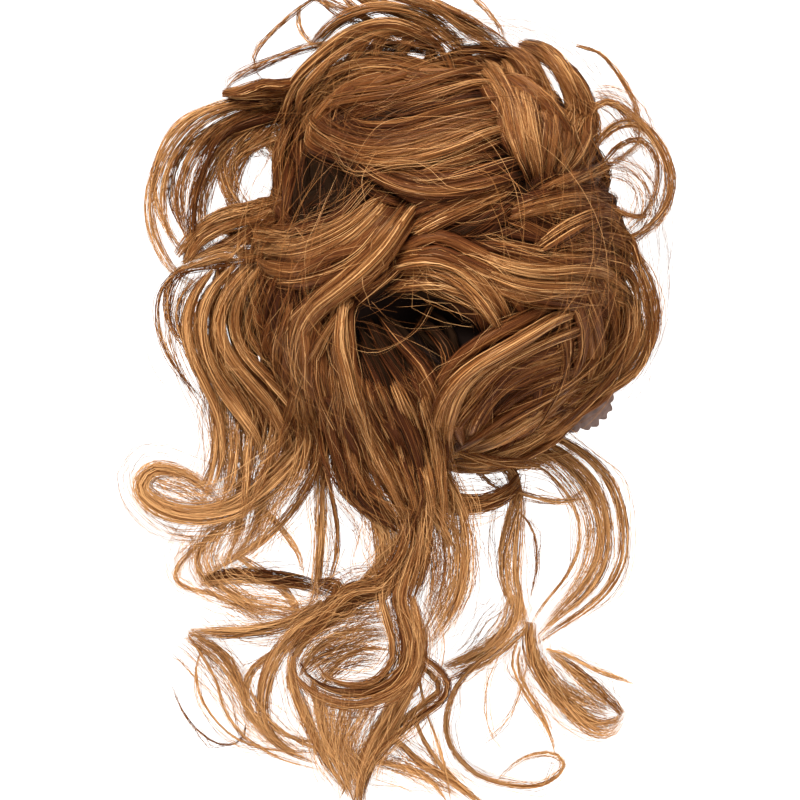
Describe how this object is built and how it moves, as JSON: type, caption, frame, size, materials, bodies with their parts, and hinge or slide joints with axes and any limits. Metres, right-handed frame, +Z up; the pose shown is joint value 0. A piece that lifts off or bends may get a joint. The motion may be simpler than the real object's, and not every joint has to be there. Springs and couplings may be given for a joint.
{
  "type": "top knot hairpiece",
  "caption": "Messy bun hairpiece of curled false hair round a gathered elastic loop, with loose curled tendrils hanging below.",
  "frame": {"origin": "middle of the elastic loop, in the plane where the hairpiece sits round the wearer's own knot of hair", "axes": "+Z up along the hanging tendrils, -Y out of the bun's front, +Y into the wearer's head, +X to the viewer's right from the front"},
  "size_m": [0.156, 0.0869, 0.2372],
  "materials": {
    "hair": "silky synthetic hair, golden brown",
    "elastic": "gathered cloth over elastic, taupe"
  },
  "bodies": {
    "root": {"elastic_band": "elastic", "bun_hair": "hair", "tendrils_left": "hair", "tendrils_centre": "hair", "tendrils_right": "hair"}
  },
  "joints": []
}
